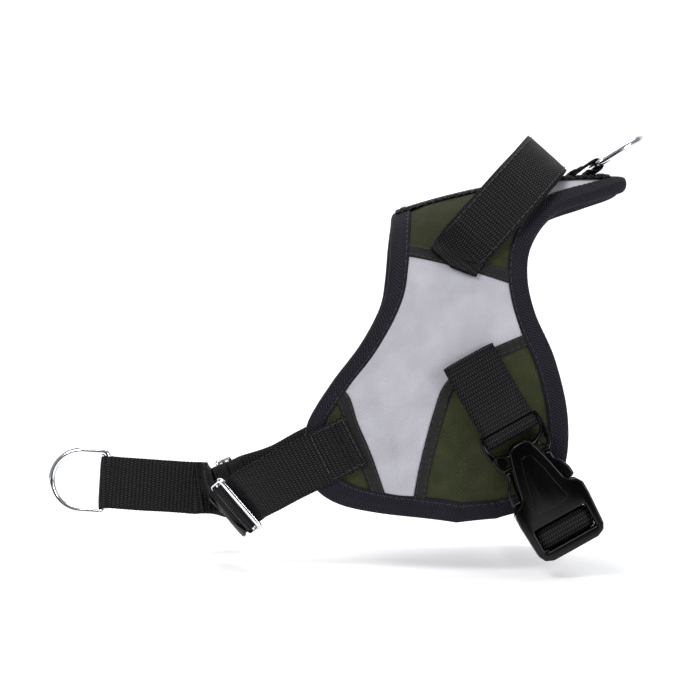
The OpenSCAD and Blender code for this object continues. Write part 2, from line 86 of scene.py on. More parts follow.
def on_body(x, t, n):
    """The point at x along the spine, t round the body from it (left is positive) and n outward."""
    x, t, n = np.broadcast_arrays(np.asarray(x, float), t, n)
    at = np.abs(t)
    flank = at > CREST_LEN
    turn = np.where(flank, CREST_ANGLE + (at - CREST_LEN) / FLANK_R, at / CREST_R)
    crest_sin, crest_cos = math.sin(CREST_ANGLE), math.cos(CREST_ANGLE)
    side = np.where(flank, CREST_R * crest_sin + FLANK_R * (np.sin(turn) - crest_sin), CREST_R * np.sin(turn))
    drop = np.where(flank, CREST_R * (1 - crest_cos) + FLANK_R * (crest_cos - np.cos(turn)),
                    CREST_R * (1 - np.cos(turn)))
    share = NECK_SHARE + (1 - NECK_SHARE) * ease((x - NECK_X) / (FULL_X - NECK_X))
    y = -np.sign(t) * share * (side + n * np.sin(turn))
    return np.stack([x, y, spine_z(x) - drop + n * np.cos(turn)], -1)


# ------------ curves
def curve(points, start=0.0, end=None, count=40, mirrored=False):
    """Points along a smooth curve through the given ones; a mirrored one starts across the spine."""
    p = np.asarray(points, float)
    end = len(p) - 1 if end is None else end
    first = p[1] * [1, -1] if mirrored else 2 * p[0] - p[1]
    p = np.vstack([first, p, 2 * p[-1] - p[-2]])
    s = np.linspace(start, end, count)
    i = np.minimum(np.floor(s).astype(int), len(p) - 4)
    f = (s - i)[:, None]
    a, b, c, d = p[i], p[i + 1], p[i + 2], p[i + 3]
    bend, twist = 2 * a - 5 * b + 4 * c - d, 3 * b - a - 3 * c + d
    return 0.5 * (2 * b + (c - a) * f + bend * f ** 2 + twist * f ** 3)


def lengths(points):
    return np.concatenate([[0], np.cumsum(np.linalg.norm(np.diff(points, axis=0), axis=1))])


def along_line(at, s, values):
    """The values at the distances at, where s is each value's distance."""
    return np.stack([np.interp(at, s, values[:, k]) for k in range(values.shape[1])], -1)


def evenly(points, count):
    """The same line with that many evenly spaced points."""
    s = lengths(points)
    return along_line(np.linspace(0, s[-1], count), s, points)


def even(points, step):
    return evenly(points, max(2, int(round(lengths(points)[-1] / step)) + 1))


def hats(v):
    return v / np.maximum(np.linalg.norm(v, axis=-1, keepdims=True), 1e-9)


def left_of(points, closed=False):
    """The unit directions to the left of a line of pattern points."""
    if closed:
        d = np.roll(points, -1, 0) - np.roll(points, 1, 0)
    else:
        d = np.gradient(points, axis=0)
    d = hats(d)
    return np.stack([-d[:, 1], d[:, 0]], -1)


def shifted(points, distance):
    return points + distance * left_of(points)


def flip(points):
    return points * [1, -1]


FRONT_EDGE = [[-38, 0], [-38, 15], [-39, 32], [-40.2, 50], [-43, 64], [-53, 79.5], [-68, 93.5],
              [-78, 107], [-77, 128], [-66, 144.5], [-44, 158.5], [-10, 172.8]]
REAR_EDGE = [[74, 0], [72, 16], [58, 26.5], [38, 36], [25.5, 52], [22.5, 68], [25.5, 86],
             [34, 108], [39.5, 134], [38, 157], [28.5, 171], [8, 174.9]]
LAST_KNOT = len(FRONT_EDGE) - 1
YOKE_SEAM = [[-40, 38], [-31, 42.5], [13, 67], [23, 72.5]]
GIRTH_SEAM = [[31, 95.5], [18, 98.5], [-2, 104], [-13, 111], [-17.5, 120.5], [-24, 142], [-28, 165]]
CHEST_SEAM = [[-70, 94.5], [-61.5, 101], [-57, 115], [-50, 134], [-42, 159.5]]
YOKE_FRONT_S, YOKE_REAR_S = 2.35, 5.25
CHEST_TOP_S, CHEST_LOW_S = 6.1, 10.05
GIRTH_TOP_S, GIRTH_LOW_S = 6.45, 10.47
TONGUE_X = 27.0
SEAM_GAP = 1.0


def front(start, end, count=40):
    return shifted(curve(FRONT_EDGE, start, end, count, mirrored=True), -SEAM_GAP)


def rear(start, end, count=40):
    return shifted(curve(REAR_EDGE, start, end, count, mirrored=True), SEAM_GAP)


# ------------ meshes
def smooth_noise(points, scale, seed):
    """Soft waves from -1 to 1, made of a few sines in fixed random directions."""
    rng = np.random.default_rng(seed)
    total = np.zeros(len(points))
    for _ in range(7):
        direction = rng.normal(size=points.shape[1])
        direction *= rng.uniform(0.6, 1.6) / (scale * np.linalg.norm(direction))
        total += np.sin(points @ direction * 2 * math.pi + rng.uniform(0, 2 * math.pi))
    return total / 4


def make_piece(name, points, faces, material, weave=None):
    """A mesh piece from points, and from each point's place in the cloth, all in millimetres."""
    mesh = bpy.data.meshes.new(name)
    mesh.from_pydata((np.asarray(points) * MM).tolist(), [], [list(map(int, f)) for f in faces])
    if weave is not None:
        attribute = mesh.attributes.new("weave", "FLOAT_VECTOR", "POINT")
        w = np.zeros((len(points), 3))
        w[:, :weave.shape[1]] = weave
        attribute.data.foreach_set("vector", w.ravel())
    mesh.polygons.foreach_set("use_smooth", [True] * len(mesh.polygons))
    mesh.materials.append(material)
    mesh.validate()
    mesh.update()
    piece = bpy.data.objects.new(name, mesh)
    scene.collection.objects.link(piece)
    return piece


def loops_to_faces(rings, ring, closed_path=False):
    """Faces between rings of points that each close on themselves."""
    faces = []
    for i in range(rings if closed_path else rings - 1):
        a, b = i * ring, ((i + 1) % rings) * ring
        for k in range(ring):
            m = (k + 1) % ring
            faces.append((a + k, a + m, b + m, b + k))
    if not closed_path:
        faces.append(tuple(range(ring))[::-1])
        faces.append(tuple(range((rings - 1) * ring, rings * ring)))
    return faces


def facing_out(piece):
    """Turns the faces of a closed piece outward."""
    bm = bmesh.new()
    bm.from_mesh(piece.data)
    bmesh.ops.recalc_face_normals(bm, faces=bm.faces)
    bm.to_mesh(piece.data)
    bm.free()
    return piece


def shape_of(piece):
    co = np.empty(len(piece.data.vertices) * 3)
    piece.data.vertices.foreach_get("co", co)
    return co.reshape(-1, 3)


def reshape(piece, co):
    piece.data.vertices.foreach_set("co", co.ravel())
    piece.data.update()


def mirrored(piece, name):
    """The same piece on the other flank."""
    twin = bpy.data.objects.new(name, piece.data.copy())
    twin.data.name = name
    scene.collection.objects.link(twin)
    reshape(twin, shape_of(twin) * [1, -1, 1])
    twin.data.flip_normals()
    return twin


# ------------ material building
class Field:
    """A value in a material's node tree, with ordinary arithmetic."""

    def __init__(self, tree, socket):
        self.tree, self.socket = tree, socket

    def _math(self, operation, *others):
        node = self.tree.nodes.new("ShaderNodeMath")
        node.operation = operation
        for k, value in enumerate((self, *others)):
            if isinstance(value, Field):
                self.tree.links.new(value.socket, node.inputs[k])
            else:
                node.inputs[k].default_value = value
        return Field(self.tree, node.outputs[0])

    def __add__(self, other):
        return self._math("ADD", other)

    def __sub__(self, other):
        return self._math("SUBTRACT", other)

    def __mul__(self, other):
        return self._math("MULTIPLY", other)

    def wave(self, pitch):
        """From 0 to 1 and back over each pitch."""
        return (self * (2 * math.pi / pitch))._math("SINE") * 0.5 + 0.5

    def folded(self, pitch):
        return self._math("PINGPONG", pitch)

    def power(self, exponent):
        return self._math("POWER", exponent)

    def steps(self, pitch):
        return (self * (1 / pitch))._math("FLOOR")

    def odd(self):
        return self._math("MODULO", 2.0)


class Material:
    """One procedural material: pattern fields in, colour, roughness and bump out."""

    def __init__(self, name, colour, roughness, **constants):
        self.material = bpy.data.materials.new(name)
        self.material.use_nodes = True
        self.tree = self.material.node_tree
        self.shader = self.tree.nodes["Principled BSDF"]
        self.shader.inputs["Base Color"].default_value = (*colour, 1)
        self.shader.inputs["Roughness"].default_value = roughness
        for key, value in constants.items():
            self.shader.inputs[key.replace("_", " ")].default_value = value
        self.material.diffuse_color = (*colour, 1)

    def weave(self):
        node = self.tree.nodes.new("ShaderNodeAttribute")
        node.attribute_name = "weave"
        return node.outputs["Vector"]

    def cloth_place(self):
        """Place along and across the cloth, in millimetres."""
        split = self.tree.nodes.new("ShaderNodeSeparateXYZ")
        self.tree.links.new(self.weave(), split.inputs[0])
        return Field(self.tree, split.outputs[0]), Field(self.tree, split.outputs[1])

    def noise(self, size_mm, detail=3.0, cloth=False):
        """Cloudy noise from 0 to 1 with features of about that size."""
        node = self.tree.nodes.new("ShaderNodeTexNoise")
        if cloth:
            self.tree.links.new(self.weave(), node.inputs["Vector"])
            node.inputs["Scale"].default_value = 1 / size_mm
        else:
            place = self.tree.nodes.new("ShaderNodeTexCoord")
            self.tree.links.new(place.outputs["Object"], node.inputs["Vector"])
            node.inputs["Scale"].default_value = 1000 / size_mm
        node.inputs["Detail"].default_value = detail
        return Field(self.tree, node.outputs["Fac"])

    def colour(self, factor, dark, light):
        node = self.tree.nodes.new("ShaderNodeMix")
        node.data_type = "RGBA"
        self.tree.links.new(factor.socket, node.inputs["Factor"])
        node.inputs["A"].default_value = (*dark, 1)
        node.inputs["B"].default_value = (*light, 1)
        self.tree.links.new(node.outputs["Result"], self.shader.inputs["Base Color"])

    def rough(self, field):
        self.tree.links.new(field.socket, self.shader.inputs["Roughness"])

    def bump(self, height, depth_mm, strength=1.0):
        node = self.tree.nodes.new("ShaderNodeBump")
        node.inputs["Strength"].default_value = strength
        node.inputs["Distance"].default_value = depth_mm * MM
        self.tree.links.new(height.socket, node.inputs["Height"])
        self.tree.links.new(node.outputs["Normal"], self.shader.inputs["Normal"])


def fabric_material(name, dark, light, pitch, depth, roughness=0.85, sheen=0.05, mottling=9.0):
    """A fine plain weave with soft changes of tone."""
    made = Material(name, light, roughness, Sheen_Weight=sheen, Sheen_Roughness=0.45,
                    Specular_IOR_Level=0.12)
    u, v = made.cloth_place()
    over_under = (u.steps(pitch) + v.steps(pitch)).odd()
    weave = u.wave(pitch) * v.wave(pitch) + over_under * 0.35
    cloud = made.noise(mottling, 4.0, cloth=True)
    made.colour(weave * 0.35 + cloud * 0.8 - 0.1, dark, light)
    made.bump(weave + made.noise(0.5, 2.0, cloth=True) * 0.5, depth)
    return made.material


def webbing_material():
    """Nylon webbing: rice-grain bumps in rows across it, a rib every RIB millimetres."""
    made = Material("nylon_webbing", (0.012, 0.012, 0.013), 0.5, Specular_IOR_Level=0.12)
    along, across = made.cloth_place()
    row = along.steps(RIB)
    grain = (across + row.odd() * (GRAIN / 2)).wave(GRAIN).power(1.6)
    rib = (along * (math.pi / RIB))._math("SINE")._math("ABSOLUTE")
    grain_relief_and_glint = grain * rib
    cloud = made.noise(7.0, 3.0, cloth=True)
    # The colour follows the grain's height. The grain pattern is real, but its light tops are painted
    # highlight and its dark gaps are painted shade on black nylon.
    made.colour(grain_relief_and_glint.power(1.5) * 0.95 + cloud * 0.08, (0.0003, 0.0003, 0.0004),
                (0.034, 0.034, 0.036))
    made.rough(cloud * 0.25 + 0.38)
    made.bump(grain_relief_and_glint + made.noise(0.25, 1.0, cloth=True) * 0.2, 0.3)
    return made.material


def herringbone_material():
    """Twill tape whose diagonals turn back at each column."""
    made = Material("herringbone_binding", (0.010, 0.009, 0.018), 0.72, Specular_IOR_Level=0.1)
    along, across = made.cloth_place()
    slant = along + across.folded(COLUMN) * 0.95
    twill = slant.wave(TWILL).power(0.8)
    valley = across.folded(COLUMN).wave(COLUMN * 2) * 0.2
    cloud = made.noise(11.0, 3.0, cloth=True)
    made.colour(twill * 0.62 + cloud * 0.3, (0.0010, 0.0008, 0.002), (0.023, 0.021, 0.031))
    made.bump(twill + valley + made.noise(0.3, 1.0, cloth=True) * 0.25, 0.28)
    return made.material


def ribbon_material():
    """Fine grosgrain: narrow ribs along the ribbon, with flecks."""
    made = Material("grosgrain_ribbon", (0.019, 0.019, 0.018), 0.62, Sheen_Weight=0.02,
                    Sheen_Roughness=0.4, Specular_IOR_Level=0.2)
    along, across = made.cloth_place()
    rib = along.wave(0.62)
    fleck = across.wave(0.5) * rib
    tone = rib * 0.4 + fleck * 0.3 + made.noise(6.0, cloth=True) * 0.3
    made.colour(tone, (0.003, 0.003, 0.0028), (0.022, 0.0225, 0.021))
    made.bump(rib + fleck * 0.4, 0.14)
    return made.material


def lining_material():
    """Knitted spacer mesh: rows of small round holes, every second row moved half a step."""
    made = Material("spacer_mesh", (0.03, 0.03, 0.034), 0.8, Sheen_Weight=0.2,
                    Sheen_Roughness=0.5, Specular_IOR_Level=0.25)
    u, v = made.cloth_place()
    pitch = 2.4
    shift = v.steps(pitch).odd() * (pitch / 2)
    hole = ((u + shift).wave(pitch) * v.wave(pitch)).power(0.7)
    solid = hole * -1.0 + 1.0
    tone = solid * 0.8 + made.noise(8.0, cloth=True) * 0.2
    made.colour(tone, (0.004, 0.004, 0.005), (0.06, 0.06, 0.068))
    made.bump(solid + made.noise(0.3, 1.0, cloth=True) * 0.3, 0.5)
    return made.material


def foam_material():
    made = Material("foam", (0.05, 0.05, 0.055), 0.95)
    pores = made.noise(0.8, 2.0)
    made.colour(pores, (0.03, 0.03, 0.033), (0.08, 0.08, 0.085))
    made.bump(pores, 0.2)
    return made.material


def plastic_material():
    """Moulded acetal: satin black, with a fine spark-eroded grain."""
    made = Material("moulded_plastic", (0.006, 0.006, 0.0065), 0.3, Specular_IOR_Level=0.24)
    grain = made.noise(0.35, 3.0)
    cloud = made.noise(14.0, 2.0)
    made.colour(cloud, (0.0005, 0.0005, 0.0006), (0.0012, 0.0012, 0.0013))
    made.rough(grain * 0.08 + cloud * 0.06 + 0.17)
    made.bump(grain, 0.03, 0.6)
    return made.material


def chrome_material():
    """Bright plating with faint polishing marks."""
    made = Material("chrome", (0.78, 0.79, 0.81), 0.08, Metallic=1.0)
    marks = made.noise(1.2, 5.0)
    cloud = made.noise(9.0, 2.0)
    made.colour(cloud, (0.70, 0.71, 0.73), (0.86, 0.87, 0.89))
    made.rough(marks * 0.08 + 0.09)
    made.bump(cloud, 0.02, 0.4)
    return made.material


def thread_material(name, dark, light):
    made = Material(name, light, 0.5, Sheen_Weight=0.1, Specular_IOR_Level=0.5)
    twist = made.noise(0.45, 2.0)
    made.colour(twist, dark, light)
    made.bump(twist, 0.06)
    return made.material


RIB, GRAIN = 1.85, 1.15         # pitch of the webbing's ribs, and of the grains in a rib
COLUMN, TWILL = 3.6, 1.5        # width of a herringbone column, and pitch of its diagonals

OLIVE = fabric_material("olive_oxford", (0.014, 0.017, 0.006), (0.046, 0.052, 0.023), 0.95, 0.2)
SILVER = fabric_material("reflective_fabric", (0.265, 0.26, 0.29), (0.47, 0.465, 0.505), 0.8,
                         0.07, roughness=0.55, sheen=0.1, mottling=16.0)
WEBBING = webbing_material()
BINDING = herringbone_material()
RIBBON = ribbon_material()
LINING = lining_material()
FOAM = foam_material()
PLASTIC = plastic_material()
CHROME = chrome_material()
THREAD = thread_material("black_thread", (0.003, 0.003, 0.0035), (0.014, 0.014, 0.015))


# ------------ straps
def rib_height(s):
    return np.abs(np.sin(math.pi * s / RIB)) ** 0.7


def strap(name, place, length, width, thick, material, step=0.31, across=9, rib=0.16):
    """A strap from a rule: place(s, w, h) gives the point at s along, w across and h out of it."""
    rings = int(round(length / step)) + 1
    s = np.linspace(0, length, rings)
    w = np.linspace(-1, 1, across)
    round_off = 1 - np.abs(w) ** 7 * 0.45
    section_w = np.concatenate([w, w[::-1]])
    section_h = np.concatenate([round_off, -round_off]) * thick / 2
    ring = len(section_w)
    ribs = rib_height(s)[:, None]
    wander = smooth_noise(np.stack([s, s * 0], -1), 34, len(name))[:, None] * 0.16
    half = width / 2 - 0.14 * (1 - ribs) * (rib > 0)
    ww = section_w[None, :] * half + wander
    hh = section_h[None, :] - np.sign(section_h)[None, :] * rib * (1 - ribs)
    ss = np.broadcast_to(s[:, None], ww.shape)
    points = place(ss.ravel(), ww.ravel(), hh.ravel())
    weave = np.stack([ss.ravel(), ww.ravel() + width * 0.5], -1)
    return facing_out(make_piece(name, points, loops_to_faces(rings, ring), material, weave))


def path_rule(points, width_dirs):
    """The rule of a free strap along points in space, each with the direction of its width."""
    s_at = lengths(points)
    along = hats(np.gradient(points, axis=0))
    out = hats(np.cross(along, width_dirs))
    wide = hats(np.cross(out, along))

    def place(s, w, h):
        middle, across, off = (along_line(s, s_at, v) for v in (points, wide, out))
        return middle + across * w[:, None] + off * h[:, None]
    return place, s_at[-1]


def surface_rule(pattern, level):
    """The rule of a strap that lies on the saddle along a line of pattern points."""
    s_at = lengths(pattern)
    side = left_of(pattern)

    def place(s, w, h):
        x, t = along_line(s, s_at, pattern).T
        side_x, side_t = along_line(s, s_at, side).T
        return on_body(x + side_x * w, t + side_t * w, level + h)
    return place, s_at[-1]


def free_strap(name, points, width_dirs):
    """A piece of webbing along points in space, with its rule and its length."""
    dense = evenly(curve(points, count=40 * len(points)), 60 * len(points))
    s = lengths(points)
    dirs = np.broadcast_to(np.asarray(width_dirs, float), points.shape)
    place, length = path_rule(dense, along_line(np.linspace(0, s[-1], len(dense)), s, dirs))
    return strap(name, place, length, WEB_W, WEB_T, WEBBING), place, length


# ------------ thread
STITCH, STITCH_GAP, THREAD_R = 2.3, 0.9, 0.24
BINDING_THREAD_R = 0.2
ON_WEB = WEB_T / 2              # the webbing's face


def tube(path, radius, sides=6):
    """The points and faces of a round bar along a path."""
    along = hats(np.gradient(path, axis=0))
    ref = np.where(np.abs(along[:, 2:3]) < 0.9, Z_AXIS, X_AXIS)
    a = hats(np.cross(along, ref))
    b = np.cross(along, a)
    angle = np.arange(sides)[None, :, None] * 2 * math.pi / sides
    rings = path[:, None, :] + radius * (np.cos(angle) * a[:, None, :] + np.sin(angle) * b[:, None, :])
    return rings.reshape(-1, 3), loops_to_faces(len(path), sides)


def joined(name, parts, material):
    """One mesh piece from several closed shells, each with its points and faces."""
    points, faces, start = [], [], 0
    for part_points, part_faces in parts:
        points.append(part_points)
        faces += [tuple(int(v) + start for v in face) for face in part_faces]
        start += len(part_points)
    return facing_out(make_piece(name, np.vstack(points), faces, material))


def thread(name, paths, radius=THREAD_R):
    """One piece of thread along all the paths."""
    return joined(name, [tube(path, radius) for path in paths], THREAD)


def sewn(name, paths, body="root", radius=THREAD_R):
    """Thread that rides on one body."""
    return settle(thread(name, paths, radius), body, slot="thread")


def stitch_paths(place, start, end, w, h=0.1):
    """Arched stitches along a line at w across a strap or panel's rule."""
    count = max(1, int((end - start) / (STITCH + STITCH_GAP)))
    pitch = (end - start) / count
    paths = []
    for i in range(count):
        s = start + pitch * (i + np.linspace(0.14, 0.86, 6))
        arch = np.sin(np.linspace(0, math.pi, 6)) ** 0.6 * (THREAD_R * 1.3) - THREAD_R * 0.9
        paths.append(place(s, np.full(6, float(w)), h + arch))
    return paths


def zigzag_path(place, s, edge, reach, pitch, h):
    """A dense zigzag across a strap, as a bartack makes."""
    turns = int(2 * edge / pitch)
    w = np.linspace(-edge, edge, 2 * turns + 1)
    ds = np.where(np.arange(len(w)) % 2 == 0, -reach, reach)
    return place(s + ds, w, np.full(len(w), h))


# ------------ the padded saddle
def grid_faces(rows, columns):
    return [(r * columns + c, r * columns + c + 1, (r + 1) * columns + c + 1, (r + 1) * columns + c)
            for r in range(rows - 1) for c in range(columns - 1)]


HELD_MM = 1.6                   # the cloth is held this close to its seams
STILL_MM, EASE_MM = 8.0, 9.0    # it doesn't move under the binding, and moves fully further in


def pillow(name, low, high, level, puff, depth, columns, material):
    """A closed panel between two lines of pattern points: its face rises from its seams by puff.

    Returns the piece, the points that the cloth holds, and how far each point is free to move.
    """
    rows = len(low)
    c = np.linspace(0, 1, columns)
    pattern = low[:, None, :] + (high - low)[:, None, :] * c[None, :, None]
    flat = pattern.reshape(-1, 2)
    border = np.vstack([pattern[0], pattern[-1], pattern[:, 0], pattern[:, -1]])
    near = np.min(np.linalg.norm(flat[:, None, :] - border[None, ::2, :], axis=-1), axis=1)
    ripple = smooth_noise(flat, 30, 5) * 0.16 * np.clip(near / 10, 0, 1)
    rise = puff * (1 - np.exp(-near / 7)) + ripple
    top = on_body(flat[:, 0], flat[:, 1], level + rise)
    under = on_body(flat[:, 0], flat[:, 1], level - depth)
    count = rows * columns
    faces = grid_faces(rows, columns)
    faces += [tuple(v + count for v in f[::-1]) for f in faces]
    grid = np.arange(count).reshape(rows, columns)
    rim = [*grid[:, 0], *grid[-1, 1:], *grid[-2::-1, -1], *grid[0, -2:0:-1]]
    for k, a in enumerate(rim):
        b = rim[(k + 1) % len(rim)]
        faces.append((b, a, a + count, b + count))
    weave = np.vstack([flat, flat])
    piece = facing_out(make_piece(name, np.vstack([top, under]), faces, material, weave))
    held = [i for i in range(count) if near[i] < HELD_MM] + list(range(count, 2 * count))
    free = ease((near - STILL_MM) / EASE_MM)
    return piece, held, np.concatenate([free, free * 0])


SIM_SCALE = 10.0       # the cloth is simulated ten times larger, where the solver is steady
SIM_FRAMES = 22


def puffed(piece, held, free, pressure, growth, cap_mm):
    """Lets Blender's cloth swell and crease the free face of a panel, by at most cap_mm."""
    start = shape_of(piece)
    sim = bpy.data.objects.new("sim", piece.data.copy())
    scene.collection.objects.link(sim)
    reshape(sim, start * SIM_SCALE)
    group = sim.vertex_groups.new(name="held")
    group.add([int(i) for i in held], 1.0, "REPLACE")
    cloth = sim.modifiers.new("Cloth", "CLOTH")
    for key, value in dict(quality=6, mass=0.3, tension_stiffness=12, compression_stiffness=12,
                           shear_stiffness=6, bending_stiffness=0.6, use_pressure=True,
                           uniform_pressure_force=pressure, shrink_min=-growth,
                           vertex_group_mass="held").items():
        setattr(cloth.settings, key, value)
    cloth.settings.effector_weights.gravity = 0
    cloth.collision_settings.use_collision = False
    cloth.collision_settings.use_self_collision = False
    for f in range(1, SIM_FRAMES + 1):
        scene.frame_set(f)
    solved = sim.evaluated_get(bpy.context.evaluated_depsgraph_get())
    move = shape_of(solved) / SIM_SCALE - start
    size = np.linalg.norm(move, axis=1, keepdims=True)
    cap = cap_mm * MM
    move *= np.where(size > 1e-9, cap * np.tanh(size / cap) / np.maximum(size, 1e-9), 1)
    reshape(piece, start + move * free[:, None])
    bpy.data.objects.remove(sim)
    scene.frame_set(1)
    return piece


def panel(name, nodes, low, high, puff, columns, material, cap, pressure=6.0, growth=0.02):
    """A sewn panel over the spine for one node, or for two one on the left flank and its twin."""
    twin = len(nodes) == 2
    level = TOP_N - 0.45
    first = name + "_left" if twin else name
    piece, held, free = pillow(first, low, high, level, puff, 1.0, columns, material)
    puffed(piece, held, free, pressure, growth, cap)
    made = [piece] + ([mirrored(piece, name + "_right")] if twin else [])
    for one, node in zip(made, nodes):
        settle(one, "root", node)


def settle(piece, body, *nodes, slot=None):
    """Rides the piece on its body, in place of the CAD nodes it stands for."""
    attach(piece, body)
    if nodes:
        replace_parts(piece, *nodes)
    return piece


def both_halves(line):
    """A line from the spine outward, with its mirror image before it."""
    return np.vstack([flip(line)[::-1][:-1], line])


def saddle_padding():
    """The foam core with the mesh lining under it."""
    low = both_halves(evenly(front(0, LAST_KNOT, 120), 70))
    high = both_halves(evenly(rear(0, LAST_KNOT, 120), 70))
    foam, _, _ = pillow("foam_padding", low, high, SHELL_N - 0.1, 0.0, 2.6, 26, FOAM)
    settle(foam, "root", "foam_core")
    lining, _, _ = pillow("mesh_lining", low, high, LINING_N, 0.0, 0.9, 40, LINING)
    settle(lining, "root", "inner_lining")


def flanks(name):
    return [name + "_left", name + "_right"]


def saddle_panels():
    # Over the spine, from the front edge to the tongue's seam
    seam = np.array([[TONGUE_X, 0], [TONGUE_X, 36.5]])
    low = evenly(front(0, YOKE_FRONT_S, 60), 24)
    high = np.vstack([evenly(seam, 14), evenly(rear(3.45, YOKE_REAR_S, 40), 11)[1:]])
    panel("yoke", ["yoke_panel"], both_halves(low), both_halves(high), 0.7, 44, OLIVE, 0.7)
    low = evenly(np.array([[TONGUE_X, 0], [TONGUE_X, 37.5]]), 24)
    high = evenly(rear(0, 3.3, 60), 24)
    panel("tongue", ["tongue_panel"], both_halves(low), both_halves(high), 0.5, 26, SILVER, 0.5)
    # On each flank
    low = np.vstack([evenly(front(YOKE_FRONT_S, CHEST_TOP_S, 60), 38),
                     evenly(curve(CHEST_SEAM, 0.15, 3.95, 60), 41)[1:]])
    high = np.vstack([evenly(rear(YOKE_REAR_S, GIRTH_TOP_S, 60), 26),
                      evenly(curve(GIRTH_SEAM, 0.1, 5.95, 60), 53)[1:]])
    panel("reflective", flanks("reflective_panel"), low, high, 1.3, 62, SILVER, 1.3, 7.0, 0.03)
    low = evenly(curve(GIRTH_SEAM, 0.1, 5.9, 60), 60)
    high = evenly(np.vstack([rear(GIRTH_TOP_S + 0.06, LAST_KNOT, 60),
                             front(GIRTH_LOW_S + 0.06, LAST_KNOT, 12)[::-1]]), 60)
    panel("girth", flanks("girth_panel"), low, high, 0.6, 34, OLIVE, 0.5)
    low = evenly(front(CHEST_TOP_S + 0.06, CHEST_LOW_S - 0.04, 60), 44)
    high = evenly(curve(CHEST_SEAM, 0.12, 3.95, 60), 44)
    panel("chest", flanks("chest_panel"), low, high, 0.5, 18, OLIVE, 0.4)


def seam_ribbons():
    """Flat ribbons over the seams, each held by two rows of stitches."""
    for seam, name, start, end in ((YOKE_SEAM, "yoke_ribbon", 0.6, 2.35),
                                   (GIRTH_SEAM, "girth_ribbon", 0.45, 5.75),
                                   (CHEST_SEAM, "chest_ribbon", 0.5, 3.8)):
        left, right = flanks(name)
        rule, length = surface_rule(evenly(curve(seam, start, end, 200), 160), TOP_N + 0.35)
        ribbon = strap(left, rule, length, RIBBON_W, RIBBON_T, RIBBON, step=0.6, across=7, rib=0.0)
        settle(ribbon, "root", left)
        settle(mirrored(ribbon, right), "root", right)
        row_w = RIBBON_W / 2 - 0.9
        paths = [p for w in (-row_w, row_w)
                 for p in stitch_paths(rule, 0.8, length - 0.8, w, RIBBON_T / 2)]
        left, right = flanks(name + "_stitches")
        settle(mirrored(sewn(left, paths), right), "root", slot="thread")


def edge_binding():
    """One folded tape round the whole edge, with its stitches."""
    half = np.vstack([curve(REAR_EDGE, 0, LAST_KNOT, 300, mirrored=True),
                      curve(FRONT_EDGE, 0, LAST_KNOT, 300, mirrored=True)[::-1]])
    whole = np.vstack([half, flip(half)[::-1][1:-1]])
    closed = np.vstack([whole, whole[:1]])
    total = lengths(closed)[-1]
    edge = even(closed, 1.0)[:-1]
    inward = -left_of(edge, closed=True)
    if np.mean(np.einsum("ij,ij->i", inward, -edge)) < 0:
        inward = -inward
    tape_out = [[9.0, 4.75], [8.7, 5.45], [6.0, 5.75], [2.2, 5.6], [0.5, 4.9], [-0.2, 2.4],
                [0.5, -0.2], [2.2, -0.85], [6.0, -0.95], [8.7, -0.75], [9.0, -0.2]]
    tape_in = [[8.6, -0.05], [5.0, 0.0], [1.6, 0.15], [0.9, 2.4], [1.6, 4.4], [5.0, 4.6],
               [8.6, 4.7]]
    outer = evenly(curve(tape_out, count=120), 34)
    section = np.vstack([outer, evenly(curve(tape_in, count=60), 14)])
    ring, rings = len(section), len(edge)
    s = np.arange(rings) * total / rings
    angle = s / s[-1] * 2 * math.pi
    circle = np.stack([np.cos(angle), np.sin(angle)], -1) * s[-1] / (2 * math.pi)
    wave_in = smooth_noise(circle, 60, 11)[:, None] * 0.3
    wave_out = smooth_noise(circle, 42, 12)[:, None] * 0.14
    d = section[None, :, 0] * (1 + wave_in / 9)
    n = section[None, :, 1] + wave_out * np.sign(section[None, :, 1] - 2.3)
    p = edge[:, None, :] + inward[:, None, :] * d[:, :, None]
    points = on_body(p[..., 0].ravel(), p[..., 1].ravel(), n.ravel())
    across = np.concatenate([lengths(outer), np.full(ring - len(outer), 0.0)])
    weave = np.stack([np.repeat(s, ring), np.tile(across, rings)], -1)
    faces = loops_to_faces(rings, ring, closed_path=True)
    tape = make_piece("edge_binding_tape", points, faces, BINDING, weave)
    settle(facing_out(tape), "root", "edge_binding")

    def rule(at, w, h):
        x, t, in_x, in_t = (np.interp(at, s, v, period=total) for v in (*edge.T, *inward.T))
        return on_body(x + in_x * w, t + in_t * w, h)
    inset, outer_n, inner_n, pitch = 7.6, 5.75, -0.95, 3.2
    paths = stitch_paths(rule, 0, total, inset, outer_n)
    sag = inner_n - 0.2 * np.sin(np.linspace(0, math.pi, 5))
    for start in np.arange(0, total - pitch, pitch):
        paths.append(rule(start + np.linspace(0.4, 2.7, 5), np.full(5, inset), sag))
    sewn("binding_stitches", paths, radius=BINDING_THREAD_R)


saddle_padding()
saddle_panels()
seam_ribbons()
edge_binding()


# ------------ webbing
BACK_BAR = (60.0, 17.75)
RING_WIRE_R = 1.65
RING_WRAP = RING_WIRE_R + 0.3 + WEB_T / 2
GIRTH_LEAN = math.radians(29.13)
GIRTH_DIR = np.array([math.sin(GIRTH_LEAN), 0, -math.cos(GIRTH_LEAN)])
GIRTH_WIDE = np.array([math.cos(GIRTH_LEAN), 0, math.sin(GIRTH_LEAN)])
GIRTH_AT = np.array([11.5, -68.0, -103.9])
PLUG_BAR = 3.0                  # the plug's round bar, along the strap
WEB_BAR = 52.2                  # the flat bar in the socket's window


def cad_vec(p_mm):
    return tuple(float(v) * MM for v in p_mm)


def turn_round(centre, radius, start, end, count=12):
    """Points on an arc round a bar, from one angle to another, in degrees."""
    return [(centre[0] + radius * math.cos(a), centre[1] + radius * math.sin(a))
            for a in np.radians(np.linspace(start, end, count))]


def side_rows(place, start, end, inset, h):
    """Stitches along both edges of a strap, on one face."""
    return [p for w in (-inset, inset) for p in stitch_paths(place, start, end, w, h)]


